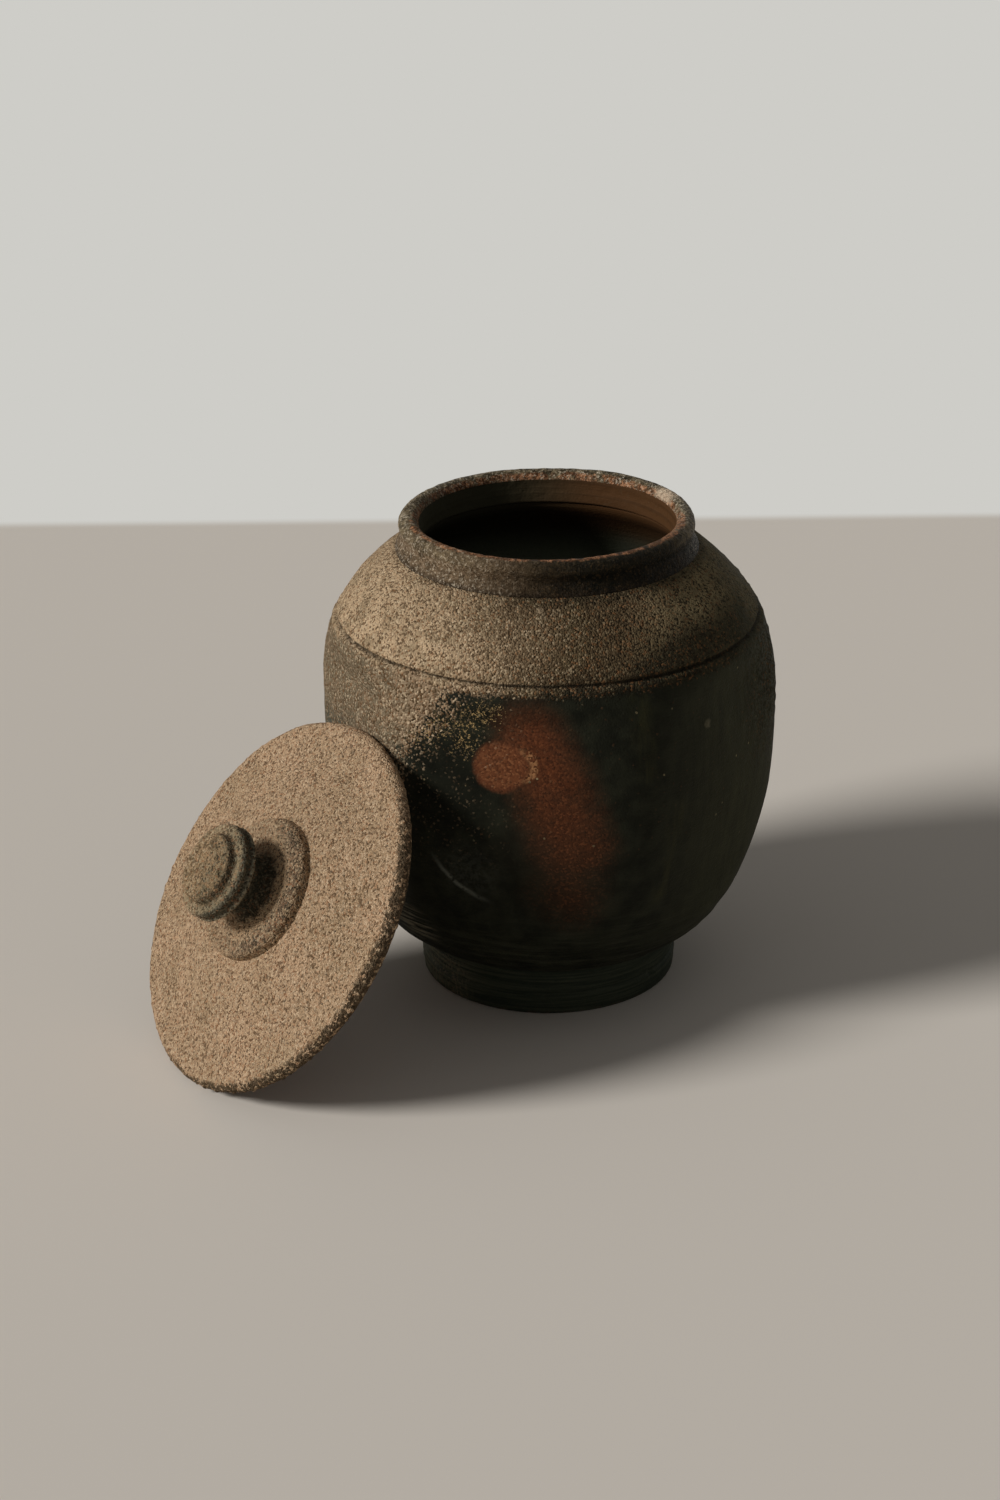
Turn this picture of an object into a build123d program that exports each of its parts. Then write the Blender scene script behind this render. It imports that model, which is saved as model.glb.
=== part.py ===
from build123d import *
from math import atan2, cos, degrees, hypot, pi, radians, sin, sqrt
import os

# A lidded stoneware jar. A thrown body with six flats paddled into its belly
# stands on a luted foot ring and carries a luted neck collar with a rolled lip.
# Its flat lid has a knob luted on top and a locating ring luted underneath. The
# lid is off: it stands on its edge beside the jar and leans against the belly.
# Millimetres. The jar's axis is Z, and its foot rests on Z = 0.

# Jar: the rises of its foot, keel and shoulder, one above the other, and its radii
# at the ridges
foot_rise = 14.6
keel_rise = 68.8
shoulder_rise = 44.6
foot_joint_radius = 36.3
belly_radius = 64.2
neck_radius = 42.2
mouth_radius = 35.8

# How full the keel and the shoulder are, as powers
keel_power = 2.45
keel_tuck = 1.66
shoulder_power = 2.75

# Wall of the body
wall = 6.2
floor_thickness = 8.0
floor_radius = 32.0
mouth_undercut = 2.4
mouth_set_back = 0.6

# Six flats between uneven ridges, bearings in degrees from +X. Each flat starts at
# the ridge that stands in the same place in its list.
ridge_bearings = (-130, -65, -5, 55, 113, 172)
flat_depths = (3.4, 3.4, 3.4, 3.4, 3.4, 5.0)
flat_to_foot = 15.4
flat_lower_fade = 18.0
flat_upper_fade = 11.0
flat_to_groove = 2.3
ridge_softness = 0.25
points_per_flat = 10
section_count = 22

# Line incised round the shoulder
groove_to_neck = 18.7
groove_width = 1.7
groove_depth = 0.9

# Neck collar with its rolled lip
collar_rise = 9.2
lip_roll = 2.65
collar_waist = 1.6
collar_waist_rise = 3.2
collar_bead = 0.9

# Foot ring
foot_radius = 36.1
foot_inner_radius = 27.5
foot_inner_top_radius = 25.0
foot_band_rise = 5.6
foot_band_step = 0.5
foot_edge = 0.9

# Lid: a plate with a half-round edge, and the ring that locates it in the mouth
lid_radius = 53.0
lid_edge = 2.4
lid_dome = 4.7
ring_clearance = 1.3
ring_width = 4.6
ring_depth = 6.0
ring_edge = 1.2

# Knob: boss, waist, grooved flange and cap, luted on a little off the lid's middle
knob_off_centre = 2.1
boss_radius = 19.9
boss_height = 3.5
boss_edge = 1.4
waist_radius = 8.4
waist_height = 9.3
boss_cove = 4.5
flange_cove = 2.2
flange_radius = 13.5
flange_thickness = 4.6
flange_edge = 1.1
flange_groove_width = 1.5
flange_groove_depth = 0.8
cap_radius = 9.7
cap_height = 2.0
cap_crown = 0.7
cap_edge = 0.8

# Where the lid stands, bearings in degrees from +X
lid_bearing = 216.3
lid_twist = -6.1
lid_tilt = 55.7
lean_gap = 0.3

# Sizes that follow from those above. The lid's levels count from its plate's middle.
belly_height = foot_rise + keel_rise
neck_height = belly_height + shoulder_rise
groove_height = neck_height - groove_to_neck
floor_height = foot_rise + floor_thickness
flat_foot_height = foot_rise + flat_to_foot
flat_top_height = groove_height - flat_to_groove
roll_height = neck_height + collar_rise - lip_roll
ring_radius = mouth_radius - ring_clearance
seat_level = lid_edge + lid_dome
boss_level = seat_level + boss_height
flange_level = boss_level + waist_height
cap_level = flange_level + flange_thickness


def smooth_step(share):
    """0 to 1 with level ends."""
    share = min(max(share, 0.0), 1.0)
    return share * share * (3 - 2 * share)


def flank_radius(height, widest, low, high):
    """Radius of a skin at its ridges. Low and high are its ends, (radius, height)."""
    if height > belly_height:
        share = (height - belly_height) / (high[1] - belly_height)
        return widest - (widest - high[0]) * share**shoulder_power
    share = (belly_height - height) / (belly_height - low[1])
    return low[0] + (widest - low[0]) * max(1 - share**keel_power, 0) ** (1 / keel_tuck)


def outer_radius(height):
    """Radius of the outer skin at its ridges."""
    low = (foot_joint_radius, foot_rise)
    high = (neck_radius, neck_height)
    return flank_radius(height, belly_radius, low, high)


def inner_radius(height):
    """Radius of the inner skin at its ridges."""
    low = (floor_radius, floor_height)
    high = (mouth_radius - mouth_undercut, neck_height)
    return flank_radius(height, belly_radius - wall, low, high)


def flat_fade(height):
    """How much of its depth a flat has at a height: all of it round the belly."""
    rise = smooth_step((height - flat_foot_height) / flat_lower_fade)
    fall = smooth_step((flat_top_height - height) / flat_upper_fade)
    return rise * fall


def flat_shape(share):
    """Sink across a flat: 0 at its ridges, where share is -1 or 1, and 1 between."""
    full = sqrt(1 + ridge_softness**2) - ridge_softness
    return (hypot(cos(pi * share / 2), ridge_softness) - ridge_softness) / full


def flats():
    """Each flat's first bearing, its width in degrees and its depth."""
    nexts = ridge_bearings[1:] + (ridge_bearings[0] + 360,)
    widths = [last - first for first, last in zip(ridge_bearings, nexts)]
    return zip(ridge_bearings, widths, flat_depths)


def wall_radius(height, bearing):
    """Radius of the outer skin at a height and bearing."""
    for first, width, depth in flats():
        turn = (bearing - first) % 360
        if turn <= width:
            sink = depth * flat_fade(height) * flat_shape(2 * turn / width - 1)
    return outer_radius(height) - sink


def girth_points(height, ridge_radius):
    """One closed outline of a skin, as points in its own plane."""
    points = []
    for first, width, depth in flats():
        for step in range(points_per_flat):
            share = 2 * step / points_per_flat - 1
            radius = ridge_radius - depth * flat_fade(height) * flat_shape(share)
            angle = radians(first + width * step / points_per_flat)
            points.append((radius * cos(angle), radius * sin(angle)))
    return points


def section_heights(low, high, skin_radius):
    """Levels of a skin's outlines, evenly spaced along its curve from low to high."""
    probes = 2000
    levels = [low + (high - low) * probe / probes for probe in range(probes + 1)]
    travel = [0.0]
    for below, above in zip(levels, levels[1:]):
        travel.append(travel[-1] + hypot(above - below, skin_radius(above) - skin_radius(below)))
    heights = [low]
    for section in range(1, section_count - 1):
        target = travel[-1] * section / (section_count - 1)
        heights.append(next(level for level, run in zip(levels, travel) if run >= target))
    return heights + [high]


def edge_distance(point):
    """How far a point outside the body lies from its wall."""
    height = min(max(point.Z, foot_rise), neck_height)
    bearing = degrees(atan2(point.Y, point.X))
    radius = wall_radius(height, bearing)
    probe = 0.05
    above = wall_radius(min(height + probe, neck_height), bearing)
    below = wall_radius(max(height - probe, foot_rise), bearing)
    beside = wall_radius(height, bearing + probe)
    slope = (above - below) / (2 * probe)
    skew = (beside - radius) / (radius * radians(probe))
    return (hypot(point.X, point.Y) - radius) / sqrt(1 + slope**2 + skew**2)


def lid_centre_at(reach):
    """Centre of the lid's plate when it stands on its edge, reach from the jar's axis."""
    height = (lid_radius - lid_edge) * sin(radians(lid_tilt)) + lid_edge
    bearing = radians(lid_bearing)
    return Vector(reach * cos(bearing), reach * sin(bearing), height)


def lean_reach():
    """Reach at which the lid's round edge lies lean_gap off the wall."""
    near = belly_radius
    far = belly_radius + 2 * lid_radius
    steps = 120
    for _ in range(40):
        reach = (near + far) / 2
        centre = lid_centre_at(reach)
        rim = [
            centre + lid_side * (lid_radius - lid_edge) * cos(2 * pi * step / steps)
            + lid_slope * (lid_radius - lid_edge) * sin(2 * pi * step / steps)
            for step in range(steps)
        ]
        gap = min(edge_distance(point) for point in rim) - lid_edge
        if gap > lean_gap:
            far = reach
        else:
            near = reach
    return far


def corners(outline, *spots):
    """The vertices of an outline that lie nearest to the given spots."""
    return [outline.vertices().sort_by_distance(spot)[0] for spot in spots]


# Directions of the leaning lid: out of its top, level across it, and up its slope
lid_facing = radians(lid_bearing + lid_twist)
lid_lean = radians(lid_tilt)
lid_normal = Vector(
    sin(lid_lean) * cos(lid_facing),
    sin(lid_lean) * sin(lid_facing),
    cos(lid_lean),
)
lid_side = Vector(sin(lid_facing), -cos(lid_facing), 0)
lid_slope = lid_side.cross(lid_normal)
lid_centre = lid_centre_at(lean_reach())
lid_axis = Axis(lid_centre, lid_normal)
lid_section = Plane(origin=lid_centre, x_dir=lid_side, z_dir=lid_slope)
knob_centre = lid_centre + lid_slope * knob_off_centre
knob_axis = Axis(knob_centre, lid_normal)
knob_section = Plane(origin=knob_centre, x_dir=lid_side, z_dir=lid_slope)
seat_radius = boss_radius + knob_off_centre

os.makedirs("parts", exist_ok=True)

# Body: the outer skin is lofted up from the foot joint to the neck joint, and the
# inner skin from the floor to the neck, where the mouth is cut upright through it.
with BuildPart() as jar_body:
    for height in section_heights(foot_rise, neck_height, outer_radius):
        with BuildSketch(Plane.XY.offset(height)):
            with BuildLine():
                Spline(*girth_points(height, outer_radius(height)), periodic=True)
            make_face()
    loft()
    for height in section_heights(floor_height, neck_height, inner_radius):
        with BuildSketch(Plane.XY.offset(height)):
            with BuildLine():
                Spline(*girth_points(height, inner_radius(height)), periodic=True)
            make_face()
    loft(mode=Mode.SUBTRACT)
    with BuildSketch(Plane.XY.offset(neck_height)):
        Circle(mouth_radius + mouth_set_back)
    extrude(amount=-wall, mode=Mode.SUBTRACT)
    with BuildSketch(Plane.XZ):
        with Locations((outer_radius(groove_height), groove_height)):
            Ellipse(groove_depth, groove_width / 2)
    revolve(axis=Axis.Z, mode=Mode.SUBTRACT)
jar_body.part.label = "jar_body"

# Neck collar: an upright throat, a rolled lip, and a bead where it is luted down
with BuildPart() as neck_collar:
    with BuildSketch(Plane.XZ):
        with BuildLine():
            throat = Line((mouth_radius, neck_height), (mouth_radius, roll_height))
            roll = RadiusArc(throat @ 1, (mouth_radius + 2 * lip_roll, roll_height), lip_roll)
            neck = Spline(
                roll @ 1,
                (neck_radius - collar_waist, neck_height + collar_waist_rise),
                (neck_radius - collar_bead / 2, neck_height + collar_bead),
                tangents=((0, -1), (1, -1)),
            )
            bead = RadiusArc(neck @ 1, (neck_radius, neck_height), collar_bead)
            Line(bead @ 1, throat @ 0)
        make_face()
    revolve(axis=Axis.Z)
neck_collar.part.label = "neck_collar"

# Foot ring: a low band under a stepped seam, round a hollow that widens downwards
with BuildPart() as foot_ring:
    with BuildSketch(Plane.XZ) as foot_outline:
        with BuildLine():
            Polyline(
                (foot_inner_top_radius, foot_rise),
                (foot_inner_radius, 0),
                (foot_radius, 0),
                (foot_radius + foot_band_step, foot_band_rise),
                (foot_radius, foot_band_rise + foot_band_step),
                (foot_joint_radius, foot_rise),
                close=True,
            )
        make_face()
        fillet(foot_outline.vertices().group_by(Axis.Y)[0], radius=foot_edge)
    revolve(axis=Axis.Z)
foot_ring.part.label = "foot_ring"

# Lid plate: a disc with a half-round edge, slightly domed up to the seat of its boss
with BuildPart() as lid_plate:
    with BuildSketch(lid_section):
        with BuildLine():
            under = Line((0, -lid_edge), (lid_radius - lid_edge, -lid_edge))
            edge = RadiusArc(under @ 1, (lid_radius - lid_edge, lid_edge), -lid_edge)
            dome = Spline(edge @ 1, (seat_radius, seat_level), tangents=((-1, 0), (-1, 0)))
            seat = Line(dome @ 1, (0, seat_level))
            Line(seat @ 1, under @ 0)
        make_face()
    revolve(axis=lid_axis)
lid_plate.part.label = "lid_plate"

# Locating ring: luted under the plate, it enters the mouth when the lid is on
with BuildPart() as lid_locating_ring:
    with BuildSketch(lid_section) as ring_outline:
        with Locations((ring_radius - ring_width / 2, -lid_edge - ring_depth / 2)):
            Rectangle(ring_width, ring_depth)
        fillet(ring_outline.vertices().group_by(Axis.Y)[0], radius=ring_edge)
    revolve(axis=lid_axis)
lid_locating_ring.part.label = "lid_locating_ring"

# Knob: boss, coved waist, flange with a groove round its edge, and a crowned cap
with BuildPart() as lid_knob:
    with BuildSketch(knob_section) as knob_outline:
        with BuildLine():
            Polyline(
                (0, cap_level + cap_height + cap_crown),
                (0, seat_level),
                (boss_radius, seat_level),
                (boss_radius, boss_level),
                (waist_radius, boss_level),
                (waist_radius, flange_level),
                (flange_radius, flange_level),
                (flange_radius, cap_level),
                (cap_radius, cap_level),
                (cap_radius, cap_level + cap_height),
            )
            Spline(
                (cap_radius, cap_level + cap_height),
                (0, cap_level + cap_height + cap_crown),
                tangents=((-1, 0.4), (-1, 0)),
            )
        make_face()
        fillet(corners(knob_outline, (boss_radius, boss_level)), radius=boss_edge)
        fillet(corners(knob_outline, (waist_radius, boss_level)), radius=boss_cove)
        fillet(corners(knob_outline, (waist_radius, flange_level)), radius=flange_cove)
        flange_corners = corners(
            knob_outline, (flange_radius, flange_level), (flange_radius, cap_level)
        )
        fillet(flange_corners, radius=flange_edge)
        fillet(corners(knob_outline, (cap_radius, cap_level + cap_height)), radius=cap_edge)
        with Locations((flange_radius, flange_level + flange_thickness / 2)):
            Ellipse(flange_groove_depth, flange_groove_width / 2, mode=Mode.SUBTRACT)
    revolve(axis=knob_axis)
lid_knob.part.label = "lid_knob"

for piece in (jar_body, neck_collar, foot_ring, lid_plate, lid_locating_ring, lid_knob):
    export_step(piece.part, f"parts/{piece.part.label}.step")
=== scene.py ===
from itertools import product
from math import cos, pi, radians, sin, sqrt

import bpy
import numpy as np
from mathutils import Matrix, Vector


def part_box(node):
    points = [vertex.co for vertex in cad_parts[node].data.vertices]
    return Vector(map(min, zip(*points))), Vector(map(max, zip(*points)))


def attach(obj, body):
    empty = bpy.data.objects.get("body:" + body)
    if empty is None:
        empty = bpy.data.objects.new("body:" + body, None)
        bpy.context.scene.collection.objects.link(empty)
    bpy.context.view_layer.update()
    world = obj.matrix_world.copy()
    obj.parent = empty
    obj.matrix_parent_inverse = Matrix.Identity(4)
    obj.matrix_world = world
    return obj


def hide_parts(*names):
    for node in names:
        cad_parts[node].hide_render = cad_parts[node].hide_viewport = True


# A lidded stoneware jar, fired in a wood kiln. Its lid leans against its belly.
# Lengths are millimetres until a mesh is written, which is in metres.

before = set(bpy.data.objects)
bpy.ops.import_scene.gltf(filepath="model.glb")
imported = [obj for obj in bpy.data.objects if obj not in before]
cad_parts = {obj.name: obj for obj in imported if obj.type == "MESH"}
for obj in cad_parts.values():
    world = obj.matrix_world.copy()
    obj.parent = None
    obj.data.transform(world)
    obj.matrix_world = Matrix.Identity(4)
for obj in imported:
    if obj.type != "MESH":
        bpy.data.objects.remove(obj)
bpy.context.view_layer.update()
MM = 0.001


# ---------------------------------------------------------------- noise and outlines

def lattice(cells, seed):
    """A steady random number from 0 to 1 for each whole-number cell."""
    key = cells[..., 0] * 73856093 ^ cells[..., 1] * 19349663 ^ cells[..., 2] * 83492791
    key = (key ^ (seed * 2654435761)) & 0xFFFFFFFF
    key = ((key ^ (key >> 15)) * 2246822519) & 0xFFFFFFFF
    key = ((key ^ (key >> 13)) * 3266489917) & 0xFFFFFFFF
    return ((key ^ (key >> 16)) & 0xFFFFFF) / float(0xFFFFFF)


def cloud(points, size, seed):
    """Smooth noise from -1 to 1 with lumps of a size."""
    scaled = points / size
    base = np.floor(scaled).astype(np.int64)
    part = scaled - base
    part = part * part * (3 - 2 * part)
    total = 0.0
    for corner in product((0, 1), repeat=3):
        weight = np.prod(np.where(corner, part, 1 - part), axis=-1)
        total = total + weight * lattice(base + np.array(corner), seed)
    return 2 * total - 1


def crumbs(points, spacing, share, seed):
    """Rounded grains, 0 to 1 high, in a share of the cells of a spacing."""
    scaled = points / spacing
    base = np.floor(scaled).astype(np.int64)
    best = np.zeros(points.shape[:-1])
    for step in product((-1, 0, 1), repeat=3):
        cell = base + np.array(step)
        centre = np.stack([lattice(cell, seed + axis) for axis in (1, 2, 3)], -1)
        reach = 0.25 + 0.3 * lattice(cell, seed + 4)
        away = np.linalg.norm(scaled - cell - centre, axis=-1) / reach
        lump = np.sqrt(np.clip(1 - away**2, 0, 1))
        best = np.maximum(best, np.where(lattice(cell, seed) < share, lump, 0))
    return best


def smooth_step(value, low, high):
    """0 below low and 1 above high, or the other way about, with level ends."""
    share = np.clip((value - low) / (high - low), 0, 1)
    return share * share * (3 - 2 * share)


def bell(value, width):
    """1 at 0, fading to 0 over a width either way."""
    return np.exp(-((value / width) ** 2))


def bearing_gap(points, bearing):
    """Degrees round Z from a bearing, -180 to 180."""
    turn = np.degrees(np.arctan2(points[..., 1], points[..., 0])) - bearing
    return (turn + 180) % 360 - 180


def from_axis(points):
    """Distance of each point from Z."""
    return np.hypot(points[..., 0], points[..., 1])


def walk(points, spacing):
    """The same line with its points evenly spaced, its last point left out."""
    points = np.array(points, float)
    runs = np.r_[0, np.cumsum(np.hypot(*np.diff(points, axis=0).T))]
    count = max(int(round(runs[-1] / spacing)), 1)
    marks = np.linspace(0, runs[-1], count, endpoint=False)
    return np.stack([np.interp(marks, runs, points[:, axis]) for axis in (0, 1)], -1)


def rounded(points):
    """A line through (radius, level, fillet) corners, with each fillet as an arc."""
    line = [points[0][:2]]
    for before, corner, after in zip(points, points[1:], points[2:]):
        here = Vector(corner[:2])
        come = (here - Vector(before[:2])).normalized()
        go = (Vector(after[:2]) - here).normalized()
        turn = come.angle(go)
        if corner[2] == 0 or turn < 1e-3:
            line.append(corner[:2])
            continue
        back = corner[2] * np.tan(turn / 2)
        side = (go - come).normalized()
        hub = here + side * corner[2] / cos(turn / 2)
        for share in np.linspace(0, 1, 9):
            spoke = (here - come * back - hub).slerp(here + go * back - hub, share)
            line.append(tuple(hub + spoke.normalized() * corner[2]))
    line.append(points[-1][:2])
    return line


# ---------------------------------------------------------------- meshes

def spin(outline, count):
    """Grid of points, rows by count: an outline of (radius, level) turned about Z."""
    angles = np.arange(count) * 2 * pi / count
    radius = outline[:, :1] * np.ones(count)
    level = outline[:, 1:] * np.ones(count)
    return np.stack([radius * np.cos(angles), radius * np.sin(angles), level], -1)


def outward(grid, ring):
    """Unit normals of a grid whose outline runs up the outside."""
    around = np.roll(grid, -1, 1) - np.roll(grid, 1, 1)
    along = np.roll(grid, -1, 0) - np.roll(grid, 1, 0) if ring else np.gradient(grid, axis=0)
    normal = np.cross(around, along)
    return normal / np.maximum(np.linalg.norm(normal, axis=-1, keepdims=True), 1e-9)


def push(grid, amount, ring=False):
    """The grid moved along its normals by an amount at each point."""
    return grid + outward(grid, ring) * amount[..., None]


def add_object(name, data):
    made = bpy.data.objects.new(name, data)
    bpy.context.scene.collection.objects.link(made)
    return made


def weave(grid, ring, splits):
    """Points and faces of a closed mesh from a grid, and the number of each face's material."""
    rows, count = grid.shape[:2]
    points = (grid * MM).reshape(-1, 3).tolist()
    faces, owners = [], []
    for row in range(rows if ring else rows - 1):
        first = row * count
        second = ((row + 1) % rows) * count
        owner = sum(row >= split for split in splits)
        for step in range(count):
            beside = (step + 1) % count
            faces.append((first + step, first + beside, second + beside, second + step))
            owners.append(owner)
    for row, flip in () if ring else ((0, True), (rows - 1, False)):
        pole = len(points)
        points.append((grid[row].mean(0) * MM).tolist())
        for step in range(count):
            pair = [row * count + step, row * count + (step + 1) % count]
            faces.append((pair[::-1] if flip else pair) + [pole])
            owners.append(0 if flip else len(splits))
    return points, faces, owners


def add_piece(name, grid, body, node, materials, ring=False, pose=None, splits=()):
    """A closed mesh from a grid, dressed and riding in place of its CAD node."""
    points, faces, owners = weave(grid, ring, splits)
    mesh = bpy.data.meshes.new(name)
    mesh.from_pydata(points, [], faces)
    if pose is not None:
        mesh.transform(pose)
    mesh.polygons.foreach_set("use_smooth", [True] * len(faces))
    mesh.polygons.foreach_set("material_index", owners)
    for material in materials:
        mesh.materials.append(material)
    piece = add_object(name, mesh)
    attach(piece, body)
    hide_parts(node)
    return piece


# ---------------------------------------------------------------- nodes

def colour(red, green, blue):
    """Scene colour of an sRGB one written 0 to 255."""
    shades = [value / 255 for value in (red, green, blue)]
    return [s / 12.92 if s < 0.04045 else ((s + 0.055) / 1.055) ** 2.4 for s in shades] + [1]


class Nodes:
    """Writes the nodes of one tree. What it joins is a socket or a plain value."""

    def __init__(self, tree):
        self.tree = tree

    def feed(self, socket, value):
        if isinstance(value, bpy.types.NodeSocket):
            self.tree.links.new(value, socket)
        else:
            socket.default_value = value

    def node(self, kind, *values, **settings):
        """A new node with its settings, and with values in its first sockets."""
        made = self.tree.nodes.new("ShaderNode" + kind)
        for name, value in settings.items():
            setattr(made, name, value)
        for socket, value in zip(made.inputs, values):
            self.feed(socket, value)
        return made

    def fill(self, made, **values):
        """A node with values in sockets of their names."""
        for name, value in values.items():
            self.feed(made.inputs[name], value)
        return made

    def split(self, vector):
        return self.node("SeparateXYZ", vector).outputs

    def math(self, operation, first, second=0.0, clamp=False):
        return self.node("Math", first, second, operation=operation, use_clamp=clamp).outputs[0]

    def times(self, first, *others):
        for other in others:
            first = self.math("MULTIPLY", first, other)
        return first

    def plus(self, first, *others):
        for other in others:
            first = self.math("ADD", first, other)
        return first

    def most(self, first, *others):
        for other in others:
            first = self.math("MAXIMUM", first, other)
        return first

    def blend(self, share, low, high):
        """A shader between two."""
        return self.node("MixShader", share, low.outputs[0], high.outputs[0]).outputs[0]


class Finish(Nodes):
    """Writes one material's nodes. Places and sizes are millimetres of the piece."""

    def __init__(self, name, pose=None):
        self.material = bpy.data.materials.new(name)
        self.material.use_nodes = True
        super().__init__(self.material.node_tree)
        self.shader = self.tree.nodes["Principled BSDF"]
        where = self.node("TexCoord").outputs["Object"]
        if pose is not None:
            inverse = self.node("Mapping", where, pose.translation, pose.to_euler(), vector_type="TEXTURE")
            where = inverse.outputs[0]
        self.place = self.vector("SCALE", where, 1 / MM)
        self.x, self.y, self.z = self.split(self.place)
        self.bearing = self.times(self.math("ARCTAN2", self.y, self.x), 180 / pi)
        self.radius = self.length(self.x, self.y)

    def length(self, x, y):
        return self.math("SQRT", self.plus(self.times(x, x), self.times(y, y)))

    def rest(self, share):
        """What a share leaves of 1."""
        return self.plus(1.0, self.times(share, -1))

    def swing(self, noise, amount):
        """Noise about 0.5 turned into noise about 0, in a band of an amount."""
        return self.times(self.plus(noise, -0.5), amount)

    def vector(self, operation, first, second):
        made = self.node("VectorMath", first, operation=operation)
        self.feed(made.inputs["Scale" if operation == "SCALE" else 1], second)
        return made.outputs["Value" if operation in ("DISTANCE", "DOT_PRODUCT") else 0]

    def step(self, value, low, high):
        """0 at low and 1 at high, whichever is the larger, with level ends."""
        ends = (high, low, 1, 0) if low > high else (low, high, 0, 1)
        return self.node("MapRange", value, *ends, interpolation_type="SMOOTHSTEP").outputs[0]

    def noise(self, size, detail=2.0, rough=0.5, place=None):
        """Noise about 0.5 with lumps of a size."""
        made = self.node("TexNoise", place or self.place)
        return self.fill(made, Scale=1 / size, Detail=detail, Roughness=rough).outputs[0]

    def grains(self, size, place=None):
        """Cells of a size: the distance to a cell's point, and three random shares of each cell."""
        made = self.fill(self.node("TexVoronoi", place or self.place), Scale=1 / size)
        return made.outputs["Distance"], self.split(made.outputs["Color"])

    def stretched(self, x, y, z):
        """The place with its axes stretched."""
        return self.vector("MULTIPLY", self.place, (1 / x, 1 / y, 1 / z))

    def wobbled(self, size, amount, place=None):
        """The place pushed about by noise."""
        place = place or self.place
        made = self.fill(self.node("TexNoise", place), Scale=1 / size)
        shift = self.vector("SUBTRACT", made.outputs["Color"], (0.5, 0.5, 0.5))
        return self.vector("ADD", place, self.vector("SCALE", shift, 2 * amount))

    def spot(self, centre, inner, outer, place=None):
        """1 within inner of a centre and 0 past outer."""
        return self.step(self.vector("DISTANCE", place or self.place, centre), outer, inner)

    def streak(self, start, end, inner, outer, place=None):
        """1 within inner of the line from start to end and 0 past outer."""
        start = Vector(start)
        run = Vector(end) - start
        from_start = self.vector("SUBTRACT", place or self.place, start)
        along = self.vector("DOT_PRODUCT", from_start, run / run.length_squared)
        share = self.math("ADD", along, 0.0, clamp=True)
        away = self.vector("DISTANCE", from_start, self.vector("SCALE", run, share))
        return self.step(away, outer, inner)

    def mix(self, share, low, high):
        """A colour between two, each a socket or a paint."""
        made = self.node("Mix", share, data_type="RGBA")
        for socket, end in zip(made.inputs[6:8], (low, high)):
            self.feed(socket, colour(*end) if isinstance(end, tuple) else end)
        return made.outputs[2]

    def over(self, base, paint, *shares):
        """A base colour with a paint over a share of it. The shares are multiplied."""
        return self.mix(self.times(*shares), base, paint)

    def coat(self, base, rough, specular):
        """Fills in the shader."""
        self.fill(self.shader, **{"Base Color": base, "Roughness": rough, "Specular IOR Level": specular})

    def finish(self, base, rough, specular, bumps):
        """Joins the shader. Bumps are (height 0 to 1, depth in millimetres), coarse first."""
        self.coat(base, rough, specular)
        normal = None
        for height, depth in bumps:
            bump = self.fill(self.node("Bump"), Distance=depth * MM, Height=height)
            if normal is not None:
                self.feed(bump.inputs["Normal"], normal)
            normal = bump.outputs[0]
        self.feed(self.shader.inputs["Normal"], normal)
        return self.material


# ---------------------------------------------------------------- jar

def lift(box_corner):
    """Level of a CAD box's corner."""
    return box_corner.z / MM


foot_rise = lift(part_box("foot_ring")[1])
neck_height = lift(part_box("neck_collar")[0])
mouth_height = lift(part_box("neck_collar")[1])
belly_height = 83.4
belly_radius = 64.2
foot_joint_radius = 36.3
neck_radius = 42.2
mouth_radius = 35.8
throat_radius = 36.4
throat_foot = 125.9
wall_thickness = 6.2
floor_radius = 32.0
floor_height = 22.6
inner_neck_radius = 33.4
groove_height = 109.3
ridge_bearings = (-130, -65, -5, 55, 113, 172)
flat_depths = (3.4, 3.4, 3.4, 3.4, 3.4, 5.0)
flat_foot = (30.0, 48.0)
flat_head = (107.0, 96.0)
ridge_softness = 0.25
jar_count = 480
trimming_cuts = ((18.0, 0.20), (21.5, 0.32), (25.0, 0.22), (31.0, 0.12))
wind_share = (-0.94, -0.34)  # of x and of y: how far a place lies towards the side the ash blew from
crust_lean = 0.57
crust_reach = 102.0

# Marks on the surface: (bearing, level, size, rise or depth).
lumps = ((-93.3, 125.3, 1.1, 0.8), (-46.2, 92.2, 0.9, 0.35), (-85, 116, 0.9, 0.4))
foot_chips = ((-38, 6.0, 1.8, 0.5), (-140, 1.6, 1.6, 0.4), (-75, 1.0, 1.2, 0.3))


def flank(heights, widest, low, high):
    """Radius of a skin at its ridges, from its low end to its high one."""
    above = np.clip((heights - belly_height) / (high[1] - belly_height), 0, 1)
    below = np.clip((belly_height - heights) / (belly_height - low[1]), 0, 1)
    upper = widest - (widest - high[0]) * above**2.75
    lower = low[0] + (widest - low[0]) * (1 - below**2.45) ** (1 / 1.66)
    return np.where(heights > belly_height, upper, lower)


def skin(widest, low, high, spacing):
    """Outline of a skin from its low end to its high one."""
    heights = np.r_[low[1] + (belly_height - low[1]) * np.linspace(0, 1, 200) ** 2,
                    np.linspace(belly_height, high[1], 100)[1:]]
    line = np.stack([flank(heights, widest, low, high), heights], -1)
    return walk(line, spacing)


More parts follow.
